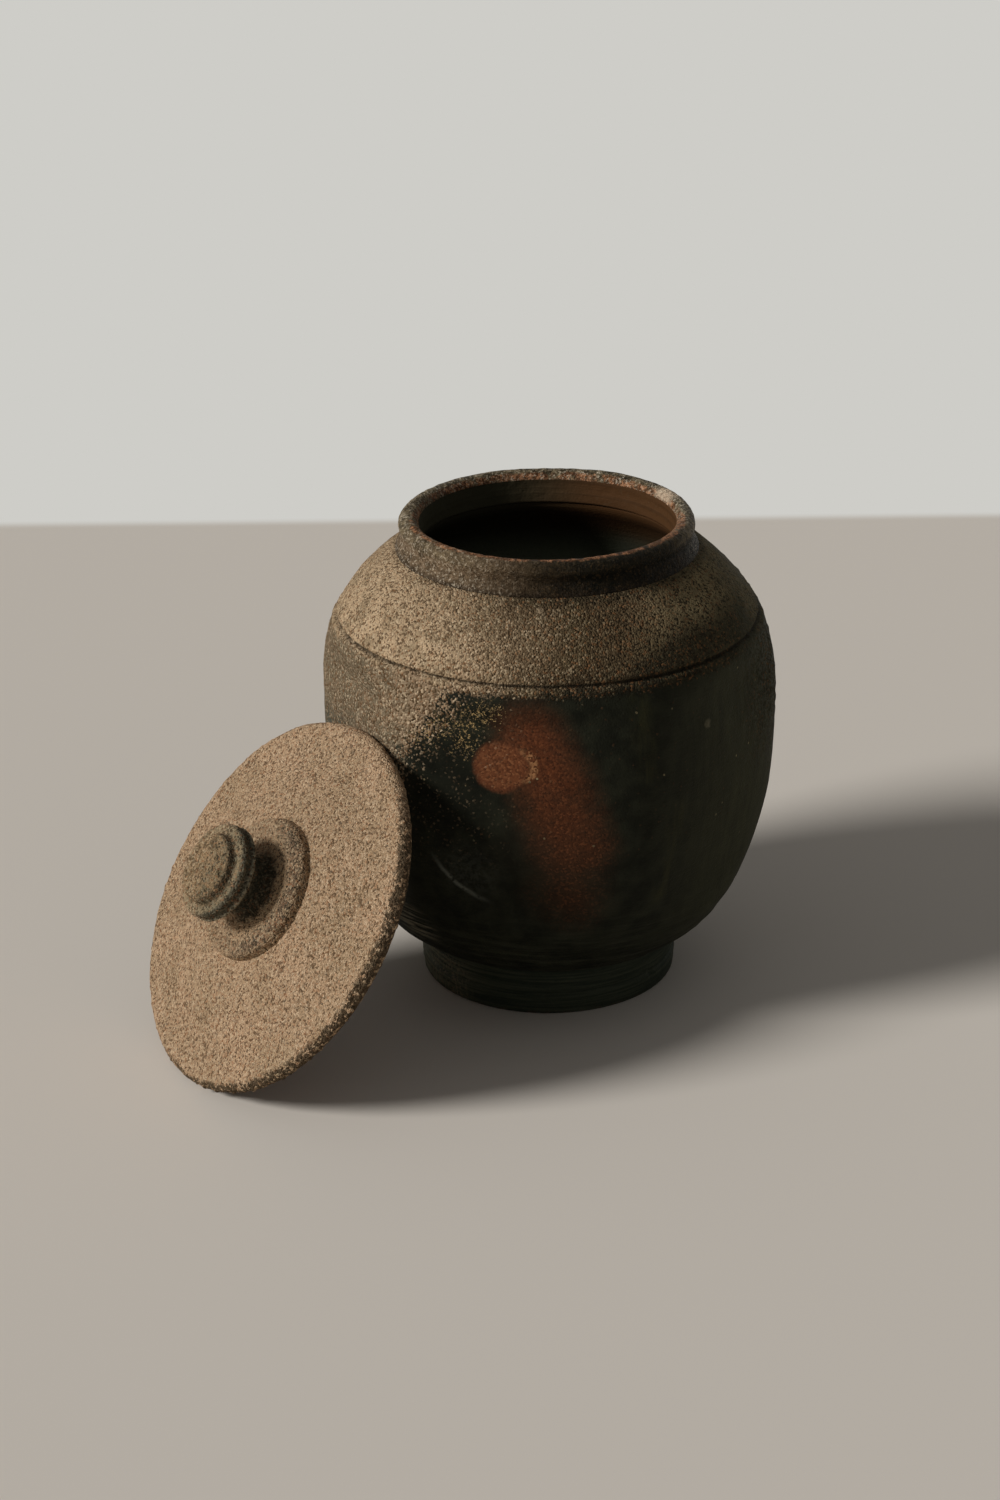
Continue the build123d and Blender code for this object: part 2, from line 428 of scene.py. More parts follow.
def flat_sink(grid):
    """How far the six flats lie inside the ridges' radius."""
    level = grid[..., 2]
    fade = smooth_step(level, *flat_foot) * smooth_step(level, *flat_head)
    full = sqrt(1 + ridge_softness**2) - ridge_softness
    sink = np.zeros(level.shape)
    nexts = ridge_bearings[1:] + (ridge_bearings[0] + 360,)
    for first, last, depth in zip(ridge_bearings, nexts, flat_depths):
        turn = bearing_gap(grid, first) % 360
        share = 2 * turn / (last - first) - 1
        shape = (np.hypot(np.cos(pi * share / 2), ridge_softness) - ridge_softness) / full
        sink = np.where(turn < last - first, depth * shape, sink)
    return sink * fade


def sunk(grid, depth):
    """The grid with its points moved in towards Z."""
    shrink = 1 - depth / np.maximum(from_axis(grid), 1e-6)
    return grid * np.stack([shrink, shrink, np.ones(shrink.shape)], -1)


def crust_share(grid):
    """Where ash and grit crusted the body: its shoulder, its windward ridge and its lee edge."""
    level = grid[..., 2]
    left = smooth_step(grid[..., 0] + 8 * cloud(grid, 18, 3), 35, -35)
    shoulder = smooth_step(level + 0.8 * cloud(grid, 4, 4), 105.5, 107.5) * (0.45 + 0.55 * left)
    edge = level + 5 * cloud(grid, 11, 5) + 2.5 * cloud(grid, 3, 6)
    windward_of = wind_share[0] * grid[..., 0] + wind_share[1] * grid[..., 1]
    reach = windward_of + crust_lean * edge - crust_reach
    below = smooth_step(reach, -3, 6) * smooth_step(edge, 52, 72)
    lee_gap = bearing_gap(grid, 0)
    lee = 0.7 * smooth_step(edge, 62, 92) * smooth_step(lee_gap, -46, -26) * smooth_step(lee_gap, 60, 30)
    return np.clip(np.maximum(np.maximum(shoulder, below), lee), 0, 1)


def body_relief(grid):
    """Height of the outer skin's surface over its plain form."""
    level = grid[..., 2]
    turned = grid * (0.03, 0.03, 1)
    crust = crust_share(grid)
    keel = smooth_step(level, 44, 30)
    relief = 0.22 * cloud(grid, 34, 11) + 0.10 * cloud(grid, 12, 12)
    combed = keel * smooth_step(grid[..., 0], -8, -34)
    relief += (0.03 + 0.11 * keel + 0.30 * combed) * cloud(turned, 1.7, 13)
    relief += crust * (0.08 * cloud(grid, 2.3, 14) + 0.12 * cloud(grid, 1.35, 15))
    relief += (0.03 + 0.15 * crust) * crumbs(grid, 2.4, 0.12, 16)
    lee = smooth_step(grid[..., 0], 40, 58) * crust
    relief += (0.08 * crust + 0.36 * lee) * crumbs(grid, 1.9, 0.24, 19)
    relief += 0.05 * cloud(grid, 3.6, 17)
    line = level - groove_height - 0.25 * cloud(grid * (1, 1, 0), 26, 18)
    relief -= 0.7 * bell(line, 0.5)
    relief += 0.30 * bell(line + 1.45, 0.75) + 0.14 * bell(line - 1.3, 0.7)
    for height, depth in trimming_cuts:
        cut = level - height - 1.4 * cloud(grid * (1, 1, 0), 26, 20)
        relief -= depth * (bell(cut, 0.55) - 0.5 * bell(cut + 1.2, 0.8))
    for bearing, height, size, rise in lumps:
        around = radians(1) * bearing_gap(grid, bearing) * from_axis(grid)
        away = np.hypot(around, level - height) + 0.35 * cloud(grid, 1.1, 22)
        relief += rise * np.sqrt(np.clip(1 - (away / size) ** 2, 0, 1))
    return relief


def faded_ends(count, first, last):
    """1 for the rows from first up to last, with a fade over three rows at each end, and 0 elsewhere."""
    share = np.zeros(count)
    share[first:last] = 1
    for away, level in enumerate((0.0, 0.3, 0.7)):
        share[[first + away, last - 1 - away]] = level
    return share


def jar_body(outside, inside):
    """Paddled body: underside, outer skin, neck joint, mouth, inner skin and floor."""
    low, high = (foot_joint_radius, foot_rise), (neck_radius, neck_height)
    outer = skin(belly_radius, low, high, 1.1)[:-1]
    near = np.abs(outer[:, 1] - groove_height) < 3.4
    first, last = np.flatnonzero(near)[[0, -1]]
    fine = walk(outer[first:last + 2], 0.34)
    outer = np.concatenate([outer[:first], fine, outer[last + 1:]])
    bed = (floor_radius, floor_height)
    inner = skin(belly_radius - wall_thickness, bed, (inner_neck_radius, neck_height), 3.6)
    inner = inner[inner[:, 1] < throat_foot - 1][::-1]
    under = walk([(3, foot_rise), low], 6)
    joint = walk([high, (throat_radius, neck_height)], 3)
    hole = walk([(throat_radius, neck_height), (throat_radius, throat_foot)], 1.0)
    bottom = walk([bed, (2, floor_height)], 5)
    outline = np.concatenate([under, outer, joint, hole, inner, bottom])
    grid = spin(outline, jar_count)
    grid = sunk(grid, flat_sink(grid))
    shown = len(under), len(under) + len(outer)
    relief = np.zeros(grid.shape[:2])
    relief[shown[0]:shown[1]] = body_relief(grid[shown[0]:shown[1]])
    ends = faded_ends(len(outline), *shown)
    relief *= ends[:, None]
    deep = grid[shown[1]:]
    relief[shown[1]:] = 0.10 * cloud(deep * (0.02, 0.02, 1), 2.6, 21) * (ends[shown[1]:] == 0)[:, None]
    relief[shown[1]:shown[1] + len(joint) + 1] = 0
    grid = push(grid, relief)
    return add_piece("stoneware_body", grid, "jar", "jar_body",
                     (outside, inside), splits=(shown[1] + len(joint),))


def neck_collar(outside, inside):
    """Collar: an upright throat under a rolled lip, luted on with a bead."""
    roll = (mouth_height - neck_height) * 0.288
    crown = mouth_height - roll
    turns = np.linspace(pi, 0, 25)
    lip = [(mouth_radius + roll - roll * cos(turn), crown + roll * sin(turn)) for turn in turns]
    neck = rounded([(mouth_radius + 2 * roll, crown, 0), (neck_radius - 1.7, neck_height + 3.4, 3.0),
                    (neck_radius - 0.5, neck_height + 0.9, 0.6), (neck_radius, neck_height, 0)])
    outside_line = walk(neck[::-1], 0.3)
    throat = walk([(mouth_radius, crown), (mouth_radius, neck_height - 0.2)], 0.45)
    base = walk([(mouth_radius, neck_height - 0.2), (neck_radius, neck_height - 0.2)], 2)
    lip_line = walk(lip, 0.28)
    outline = np.concatenate([outside_line, lip_line, throat, base])
    grid = spin(outline, jar_count)
    level = grid[..., 2]
    high = smooth_step(level, neck_height + 2, mouth_height - 2)
    grid[..., 2] += high * 0.35 * cloud(grid * (1, 1, 0), 30, 31)
    relief = 0.16 * cloud(grid, 16, 32) + 0.07 * cloud(grid, 2.2, 33) + 0.05 * cloud(grid, 1.2, 37)
    relief += 0.10 * cloud(grid * (0.03, 0.03, 1), 1.25, 34)
    relief += 0.10 * crumbs(grid, 2.2, 0.12, 35) * smooth_step(grid[..., 0], 0, -30)
    seam = level - neck_height - 1.9 - 0.5 * cloud(grid * (1, 1, 0), 14, 36)
    reach = smooth_step(np.abs(bearing_gap(grid, -128)), 46, 22)
    relief += reach * (0.42 * smooth_step(seam, 0.5, -0.2) - 0.36 * bell(seam, 0.3))
    relief *= smooth_step(level, neck_height - 0.1, neck_height + 0.4)
    grid = push(grid, relief, ring=True)
    return add_piece("collar_and_lip", grid, "jar", "neck_collar",
                     (outside, inside), ring=True, splits=(len(outside_line) + len(lip_line) - 1,))


def foot_ring(outside):
    """Trimmed foot: a low band under a seam, and chips on its edge."""
    band = 5.6
    line = rounded([(25.0, foot_rise, 0), (27.5, 0, 0.9), (36.1, 0, 0.9), (36.6, band, 0.2),
                    (36.1, band + 0.5, 0.2), (foot_joint_radius, foot_rise + 0.1, 0)])
    top = walk([(foot_joint_radius, foot_rise + 0.1), (25.0, foot_rise)], 3)
    outline = np.concatenate([walk(line, 0.42), top])
    grid = spin(outline, 400)
    level = grid[..., 2]
    away = from_axis(grid)
    side = smooth_step(away, 33, 35.5) * smooth_step(level, 0.4, 1.4)
    relief = side * (0.10 * cloud(grid, 13, 41) + 0.11 * cloud(grid * (0.02, 0.02, 1), 0.9, 42))
    relief -= side * 0.32 * bell(level - band - 1.0, 0.35)
    relief -= side * 0.16 * bell(level - band - 3.2, 0.3)
    relief += side * 0.05 * cloud(grid, 1.8, 43)
    slanted = grid * (0.3, 0.3, 0) + grid[..., 2:] * (0.2, 0, 1)
    relief += side * 0.14 * cloud(slanted, 1.1, 45) * smooth_step(grid[..., 0], 0, -28)
    for bearing, height, size, depth in foot_chips:
        gap = np.hypot(radians(1) * bearing_gap(grid, bearing) * away, level - height)
        relief -= side * depth * smooth_step(gap + 0.4 * cloud(grid, 1.4, 44), size, size * 0.4)
    relief *= smooth_step(level, foot_rise, foot_rise - 0.8)
    grid = push(grid, relief, ring=True)
    return add_piece("trimmed_foot", grid, "jar", "foot_ring", (outside,), ring=True)


# ---------------------------------------------------------------- lid

lid_facing = radians(210.2)
lid_tilt = radians(55.7)
lid_radius = 53.0
lid_edge = 2.4
seat_radius = 22.0
seat_level = 7.1
boss_radius = 19.9
knob_off_centre = 2.1
lid_lee = (-0.40, -0.92)
knob_lee = (0.20, -0.98)


def lid_pose():
    """The leaning lid's frame: X up its slope, Z out of its top, at its plate's middle."""
    normal = Vector((sin(lid_tilt) * cos(lid_facing), sin(lid_tilt) * sin(lid_facing), cos(lid_tilt)))
    side = Vector((sin(lid_facing), -cos(lid_facing), 0))
    slope = side.cross(normal)
    low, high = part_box("lid_plate")
    pose = Matrix((slope, side, normal)).transposed().to_4x4()
    pose.translation = (low + high) / 2
    return pose


def lid_plate(pose, top, under):
    """Round plate, domed up to the seat of its boss, with a crusted half-round edge."""
    edge_hub = lid_radius - lid_edge
    turns = np.linspace(-pi / 2, pi / 2, 17)
    edge = [(edge_hub + lid_edge * cos(turn), lid_edge * sin(turn)) for turn in turns]
    shares = np.linspace(0, 1, 40)
    dome = [(edge_hub + (seat_radius - edge_hub) * share,
             lid_edge + (seat_level - lid_edge) * float(smooth_step(share, 0, 1))) for share in shares]
    below = walk([(3, -lid_edge), (edge_hub, -lid_edge)], 4)
    outline = np.concatenate([below, walk(edge, 0.4), walk(dome, 0.42), walk([dome[-1], (4, seat_level)], 4)])
    grid = spin(outline, 820)
    level = grid[..., 2]
    away = from_axis(grid)
    lee = smooth_step(grid[..., 0] * lid_lee[0] + grid[..., 1] * lid_lee[1], -8, 34)
    rim = smooth_step(away, 49.5, 51.8)
    grid = grid * (1 + 0.005 * rim * cloud(grid * (1, 1, 0), 24, 51))[..., None]
    above = smooth_step(level, -lid_edge, -0.8)
    relief = 0.16 * cloud(grid, 15, 52) + 0.10 * cloud(grid, 5, 53)
    relief += 0.04 * cloud(grid, 1.9, 54) + 0.08 * cloud(grid, 1.1, 55)
    relief += 0.08 * crumbs(grid, 1.2, 0.34, 56)
    relief += 0.16 * crumbs(grid, 2.4, 0.05, 58)
    relief += rim * (0.20 + 0.32 * lee) * crumbs(grid, 2.0, 0.4, 57)
    relief += rim * lee * 0.16 * cloud(grid, 1.4, 59)
    grid = push(grid, relief * above)
    return add_piece("crusted_lid", grid, "lid", "lid_plate",
                     (under, top), pose=pose, splits=(len(below) - 1,))


def lid_knob(pose, finish):
    """Boss, coved waist, grooved flange and low cap, all under a gritty crust."""
    boss, flange, cap_edge, top = 10.6, 19.9, 24.5, 26.5
    line = rounded([(boss_radius + 0.6, seat_level - 0.6, 0), (boss_radius, boss, 1.7),
                    (8.4, boss, 4.0), (8.4, flange, 2.2), (13.5, flange, 0.7), (13.5, flange + 1.0, 0.4),
                    (12.6, flange + 1.6, 0.4), (12.6, flange + 2.4, 0.4), (13.3, flange + 3.0, 0.4),
                    (13.3, cap_edge, 1.2), (9.9, cap_edge, 0.5), (9.4, top, 0.9), (5.0, top + 0.6, 3.0),
                    (0.4, top + 0.7, 0)])
    outline = walk(line, 0.3)
    grid = spin(outline, 340)
    away = from_axis(grid)
    level = grid[..., 2]
    lee = smooth_step(grid[..., 0] * knob_lee[0] + grid[..., 1] * knob_lee[1], -6, 8)
    relief = 0.24 * cloud(grid, 9, 61) + 0.12 * cloud(grid, 3.1, 62) + 0.08 * cloud(grid, 1.3, 63)
    relief += 0.20 * crumbs(grid, 1.8, 0.30, 64)
    brink = smooth_step(away, 17.6, 19.2) * smooth_step(level, 11.6, 10.4)
    relief += lee * brink * (0.30 * crumbs(grid, 2.3, 0.3, 66) + 0.12 * cloud(grid, 1.6, 67))
    step = away - 15.4 - 0.5 * cloud(grid * (1, 1, 0), 9, 68)
    face = smooth_step(level, 12.2, 11.2) * smooth_step(lee, 0.1, 0.8)
    relief += face * 0.34 * bell(step, 0.7)
    turn = np.arctan2(grid[..., 1], grid[..., 0]) / (2 * pi)
    coil = (away / 3.1 - turn + 0.4 * cloud(grid, 5, 65)) % 1
    cap = smooth_step(level, top - 0.4, top) * smooth_step(away, 1.5, 4)
    relief += cap * 0.14 * (1 - 2 * smooth_step(coil, 0.1, 0.95))
    grid = push(grid, relief)
    grid[..., 0] += knob_off_centre
    return add_piece("turned_knob", grid, "lid", "lid_knob", (finish,), pose=pose)


def lid_ring(pose, finish):
    """Locating ring luted under the plate, with its throwing lines."""
    outer, width, depth = 34.5, 4.6, 6.0
    low = -lid_edge - depth
    line = rounded([(outer - width, -lid_edge + 0.3, 0), (outer - width, low, 1.2), (outer, low, 1.2),
                    (outer, -lid_edge + 0.3, 0)])
    outline = np.concatenate([walk(line, 0.4), walk([line[-1], line[0]], 2)])
    grid = spin(outline, 300)
    relief = 0.12 * cloud(grid, 9, 71) + 0.08 * cloud(grid * (0.03, 0.03, 1), 1.2, 72)
    relief += 0.03 * cloud(grid, 1.6, 73)
    relief *= smooth_step(grid[..., 2], -lid_edge, -lid_edge - 0.8)
    grid = push(grid, relief, ring=True)
    return add_piece("locating_ring", grid, "lid", "lid_locating_ring",
                     (finish,), ring=True, pose=pose)


# ---------------------------------------------------------------- materials

# Paints are sRGB (red, green, blue), 0 to 255. Marks lie at (x, y, z) on their piece.
black_clay = (24, 25, 18)
grey_clay = (38, 39, 29)
beige_sand = (194, 166, 132)
brown_sand = (90, 74, 53)
olive_sand = (154, 137, 102)
smoked_sand = (42, 40, 30)
rust = (94, 52, 31)
dark_rust = (68, 42, 26)
pad_rust = (112, 66, 41)
lid_sand = (190, 157, 124)
lid_brown = (172, 144, 112)

flush_line = ((-6, -60.5, 95), (0, -61, 81), (6, -60.5, 62), (5, -57, 48))
flush_widths = ((1, 14, 1.0), (2, 16, 1.0), (-3, 16, 0.75))
first_pad = (-13.6, -59.4, 86.4)
second_pad = (-8.6, -60.1, 86.9)
second_pad_hollow = (-9.9, -60.0, 86.5)
# A painted highlight: the arc where the front flat's lower edge catches the light.
highlight_arc_line = ((-32.2, -52.3, 58.4), (-29.6, -52.9, 53.9), (-25.6, -53.4, 49.4), (-20.4, -54.1, 45.8),
              (-14.5, -55.0, 43.4))
olive_runs = (((24, -58, 106), (26, -58, 84)), ((34, -53, 70), (30, -52, 45)))
star_scar = (42.4, -44.2, 92.2)
shoulder_pebble = (-2.6, -45.6, 125.6)
pale_rim_patch = (33.5, 15.5, 136.7)


def windward(f):
    """Millimetres towards the side that the kiln's ash blew from, about bearing -160."""
    return f.plus(f.times(f.x, wind_share[0]), f.times(f.y, wind_share[1]))


def sand_colour(f, wind, grains):
    """Sandy crust: beige to windward, smoky at the front, olive to leeward, greyer below the groove."""
    drift = f.plus(wind, f.swing(f.noise(14, 3), 30))
    sand = f.mix(f.step(drift, -34, -2), olive_sand, brown_sand)
    sand = f.over(sand, beige_sand, f.step(drift, 14, 54))
    patch = f.step(f.noise(7, 3, 0.6), 0.44, 0.66)
    sand = f.over(sand, (98, 86, 62), patch, 0.45)
    # Painted shade just under the collar, and a darker band just above the groove, both away from windward.
    collar_shade_and_groove_band = f.most(f.step(f.z, 114.5, 109.5), f.step(f.z, 125.5, 127.2))
    collar_shade_and_groove_band = f.times(collar_shade_and_groove_band, f.step(drift, 36, 8), 0.5)
    slope = f.plus(f.z, f.times(f.x, -0.7), f.swing(f.noise(7, 3, 0.6), 9), f.swing(grains[2], 1.5))
    smoked = f.times(f.step(slope, 99.5, 92.0), f.step(f.y, -8, -20), f.step(f.z, 122, 114), 0.85)
    sand = f.over(sand, smoked_sand, f.most(collar_shade_and_groove_band, smoked))
    dusted = f.spot((25, -40, 121), 2, 10, f.wobbled(6, 2))
    sand = f.over(sand, (150, 126, 96), dusted, 0.25)
    low = f.step(f.plus(f.z, f.times(patch, 2)), 110.0, 107.5)
    hidden = f.mix(f.step(wind, 22, 44), (40, 39, 30), (150, 127, 101))
    hidden = f.over(hidden, (112, 101, 81), f.step(f.plus(wind, f.times(patch, -6)), 48, 58))
    sand = f.mix(f.times(low, 0.9), sand, hidden)
    bright = f.times(f.step(drift, -10, 44), f.plus(1, f.times(collar_shade_and_groove_band, -1.2)), f.rest(smoked))
    dark = f.mix(bright, (42, 36, 26), (98, 78, 56))
    light = f.over(f.mix(smoked, (120, 104, 78), (66, 62, 44)), (212, 189, 156), bright)
    deep = f.plus(0.86, f.times(low, 0.14))
    sand = f.mix(f.times(f.step(grains[0], 0.44, 0.14), deep), sand, dark)
    sand = f.mix(f.times(f.step(grains[0], 0.74, 0.98), 0.55), sand, light)
    return f.over(sand, (150, 102, 64), f.step(grains[1], 0.84, 0.94), 0.35)


def flush_colour(f, clay, grains):
    """A rust flush slanting down the front, and the round marks of two pads."""
    clay = f.over(clay, (38, 32, 22), f.spot((-2, -60, 64), 2, 20), 0.4)
    bent = f.wobbled(13, 3.0)
    flush = 0.0
    for start, end, (inner, outer, share) in zip(flush_line, flush_line[1:], flush_widths):
        flush = f.most(flush, f.times(f.streak(start, end, inner, outer, bent), share))
    dark, light = f.step(grains[0], 0.4, 0.1), f.step(grains[0], 0.66, 0.95)
    fired = f.mix(f.step(f.z, 88, 50), rust, dark_rust)
    fired = f.over(fired, (46, 26, 17), dark, 0.45)
    fired = f.over(fired, (130, 76, 46), light, 0.4)
    patchy = f.plus(f.times(f.noise(5, 3), 0.7), 0.5)
    clay = f.mix(f.math("MULTIPLY", flush, patchy, clamp=True), clay, fired)
    marked = f.wobbled(2.5, 0.7)
    worn = f.mix(f.times(dark, 0.5), pad_rust, (74, 42, 26))
    worn = f.over(worn, (156, 104, 68), light, 0.5)
    pad = f.spot(first_pad, 6.2, 8.2, marked)
    brink = f.times(pad, f.rest(f.spot(first_pad, 5.4, 7.0, marked)))
    clay = f.mix(f.times(pad, 0.85), clay, worn)
    clay = f.over(clay, (76, 42, 29), brink, 0.35)
    second = f.spot(second_pad, 4.6, 5.6, marked)
    crescent = f.times(second, f.rest(f.spot(second_pad_hollow, 3.4, 5.0, marked)), f.step(f.x, -10, -5))
    clay = f.mix(f.times(second, 0.18), clay, worn)
    return f.over(clay, (168, 122, 82), crescent, f.step(grains[1], 0.1, 0.6), 0.72)


def speckled(f, clay, mottle):
    """Flakes of gold ash past the crust's edge, and a few pale motes."""
    drift = f.most(f.streak((-38, -50.5, 92), (-16, -58.6, 102), 0, 9), f.spot((-23, -56, 93), 0, 10.5))
    flakes = f.noise(0.62, 3, 0.7, f.wobbled(1.3, 0.5))
    bare = f.plus(0.80, f.times(drift, -0.2), f.times(mottle, -0.12))
    gold = f.times(f.step(f.plus(flakes, f.times(bare, -1)), 0.0, 0.035), f.step(drift, 0.02, 0.2))
    tint = f.mix(f.step(f.noise(1.5, 1), 0.4, 0.6), (104, 88, 60), (192, 160, 108))
    clay = f.mix(f.times(gold, 0.85), clay, tint)
    spots, picks = f.grains(1.9, f.wobbled(0.9, 0.25))
    motes = f.times(f.step(spots, 0.22, 0.12), f.step(picks[0], 0.96, 0.97), f.step(f.z, 44, 66))
    return f.mix(f.times(motes, 0.75), clay, f.mix(picks[1], (92, 86, 64), (168, 150, 114)))


def painted_highlight_arc(f, clay):
    """A fine curved painted highlight low on the left of the front, where the front flat's edge curves under,
    in a faint pale haze.
    """
    line = 0.0
    for start, end in zip(highlight_arc_line, highlight_arc_line[1:]):
        line = f.most(line, f.streak(start, end, 0, 1.2))
    middle = f.spot((-26.5, -53.3, 50.5), 2, 14)
    haze = f.times(f.spot((-22, -54, 54), 2, 13), f.step(f.noise(1.8, 3, 0.7), 0.4, 0.6), 0.1)
    line = f.times(line, middle, f.step(f.noise(1.2, 2), 0.2, 0.5), 0.66)
    return f.over(clay, (112, 114, 104), f.most(line, haze))


def clay_colour(f, mottle, wind, grains):
    """Black smoked clay: olive streaks to leeward, partly painted sheen; combed rings at the keel, lightened
    on the left as painted light; a painted shadow of the lid; and the kiln's marks, with a painted highlight
    arc.
    """
    clay = f.mix(f.step(mottle, 0.3, 0.7), black_clay, grey_clay)
    streaks = f.noise(2.4, 3, 0.6, f.stretched(1, 1, 9))
    # Olive streaks on the leeward side, partly painted sheen.
    olive_streaks_and_sheen = f.times(f.step(f.x, 22, 58), f.plus(f.times(streaks, 0.9), 0.1))
    clay = f.over(clay, (66, 66, 47), olive_streaks_and_sheen)
    bent = f.wobbled(5, 1.5)
    olive = f.most(*[f.streak(start, end, 0.5, 5, bent) for start, end in olive_runs])
    clay = f.over(clay, (60, 58, 34), olive, f.step(streaks, 0.35, 0.65), 0.4)
    # Darker patch on the left of the front: partly dark clay, partly painted shadow of the lid.
    clay = f.over(clay, (15, 15, 11), f.spot((-27, -54, 80), 5, 20), 0.5)
    rings = f.noise(1.5, 3, 0.6, f.wobbled(16, 1.2, f.stretched(12, 12, 1)))
    clay = f.over(clay, (62, 63, 50), f.step(f.z, 46, 26), f.step(rings, 0.46, 0.68), 0.4)
    # Combed lines low on the left, lightened: painted light where grazing light reaches them under the lid.
    combed = f.step(f.noise(0.9, 3, 0.6, f.stretched(14, 14, 1)), 0.44, 0.6)
    clay = f.over(clay, (142, 136, 116), f.spot((-38, -36, 31), 3, 12), combed, 0.75)
    clay = f.over(clay, (80, 79, 66), f.step(wind, 50, 63))
    return speckled(f, flush_colour(f, painted_highlight_arc(f, clay), grains), mottle)


def crust_cover(f, mottle, wind, grains):
    """Where ash and grit crusted the body, with an edge scattered grain by grain."""
    ragged = f.plus(f.swing(mottle, 14), f.swing(grains[2], 5))
    shoulder = f.step(f.plus(f.z, f.swing(grains[2], 1.6)), 105.8, 107.2)
    shoulder = f.times(shoulder, f.step(f.plus(wind, f.times(f.noise(16, 2), 30)), -56, 4))
    reach = f.plus(wind, f.times(f.z, crust_lean), f.times(ragged, 0.5), -crust_reach)
    flank = f.step(f.plus(f.step(reach, -4, 6), f.swing(grains[2], 0.9)), 0.3, 0.7)
    flank = f.times(flank, f.step(f.plus(f.z, ragged), 52, 72))
    lee = f.times(f.step(f.x, 50, 62), f.step(f.plus(f.z, ragged), 60, 96))
    lee = f.times(lee, f.step(grains[2], 0.35, 0.55), 0.7)
    return f.math("MAXIMUM", shoulder, f.most(flank, lee), clamp=True)


def jar_finish():
    """Smoke-blackened clay with a sandy ash crust over its shoulder and windward side."""
    f = Finish("smoked_body")
    mottle = f.noise(6, 3, 0.6)
    heap, grains = f.grains(0.56)
    wind = windward(f)
    crust = crust_cover(f, mottle, wind, grains)
    base = f.mix(crust, clay_colour(f, mottle, wind, grains), sand_colour(f, wind, grains))
    line = f.plus(f.z, -groove_height)
    groove = f.times(f.step(line, -0.7, -0.25), f.step(line, 0.6, 0.15))
    # Dark line in the groove: painted shade.
    base = f.over(base, (32, 29, 23), groove, f.step(f.noise(3, 2), 0.25, 0.5), 0.75)
    base = f.over(base, (130, 122, 100), f.spot(star_scar, 0.4, 1.8, f.wobbled(1.2, 0.8)), 0.45)
    base = f.over(base, (150, 130, 104), f.spot(shoulder_pebble, 0.5, 1.5, f.wobbled(1.2, 0.5)), 0.75)
    rough = f.plus(0.52, f.times(crust, 0.4), f.times(mottle, 0.12))
    turned = f.noise(0.8, 1, 0.5, f.stretched(60, 60, 1))
    covered = f.plus(f.times(crust, 0.84), 0.16)
    grit = f.times(f.plus(f.noise(0.9, 1, 0.5), f.times(heap, -1.1), 1.0), covered)
    return f.finish(base, rough, 0.06, ((turned, 0.1), (f.noise(2.2, 2), 0.06), (grit, 0.5)))


def inside_finish():
    """Bare clay inside the jar, warm where light falls on it, pale deep down at the back as painted light,
    with throwing lines.
    """
    f = Finish("thrown_inside")
    lines = f.noise(1.1, 2, 0.6, f.stretched(50, 50, 1))
    warm = f.times(f.step(f.bearing, -60, 10), f.step(f.bearing, 120, 60))
    base = f.mix(f.times(warm, f.step(f.z, 104, 124)), (66, 64, 48), (80, 53, 29))
    base = f.over(base, (40, 30, 19), f.step(lines, 0.45, 0.7), 0.25)
    base = f.over(base, (84, 66, 46), f.step(f.noise(2, 2), 0.6, 0.75), 0.3)
    # Deep inside: darker, but pale at the back and left, a painted light standing in for light bounced round
    # the inside.
    pale = f.times(f.step(f.bearing, 44, 80), f.step(f.bearing, 178, 120), f.step(f.radius, 10, 40))
    base = f.mix(f.step(f.z, 119, 104), base, f.mix(pale, (52, 50, 38), (128, 134, 112)))
    return f.finish(base, 0.75, 0.1, ((lines, 0.16), (f.noise(0.7, 2), 0.12)))


def lip_crest(f, base, mottle, wind):
    """Ash on the lip's crest, pale at the back with flecks that are partly painted highlights; bare rust clay
    round its mouth; and one pale patch.
    """
    back = f.step(f.y, -24, 6)
    blown = f.most(f.step(f.y, -30, -6), f.times(f.step(wind, 24, 40), 0.7))
    crest = f.times(f.step(f.z, 133.0, 135.0), f.step(f.noise(3, 3, 0.6), 0.22, 0.42))
    crest = f.times(crest, f.plus(0.08, f.times(blown, 0.8)))
    olive = f.mix(f.step(f.noise(2.2, 3, 0.7), 0.46, 0.56), (80, 70, 51), (128, 113, 86))
    # Pale flecks on the back crest: partly ash, partly painted highlights.
    olive = f.over(olive, (214, 200, 176), f.step(f.noise(1.6, 3, 0.7), 0.60, 0.68), back)
    base = f.mix(crest, base, olive)
    mouth = f.plus(f.radius, f.times(f.step(f.y, 6, -14), -2.5), f.swing(mottle, 1.6))
    bared = f.times(f.step(mouth, 37.2, 36.5), f.step(f.z, 131.8, 133.0))
    bared = f.times(bared, f.step(f.noise(3.5, 3, 0.6), 0.34, 0.52), 0.8)
    bare = f.mix(f.step(f.noise(1.2, 3, 0.7), 0.45, 0.6), (104, 66, 40), (196, 138, 98))
    base = f.mix(bared, base, bare)
    pale = f.spot(pale_rim_patch, 2.5, 6.5, f.wobbled(3, 2.0))
    return f.over(base, (216, 190, 160), pale, f.step(f.z, 134.5, 136), 0.8), back


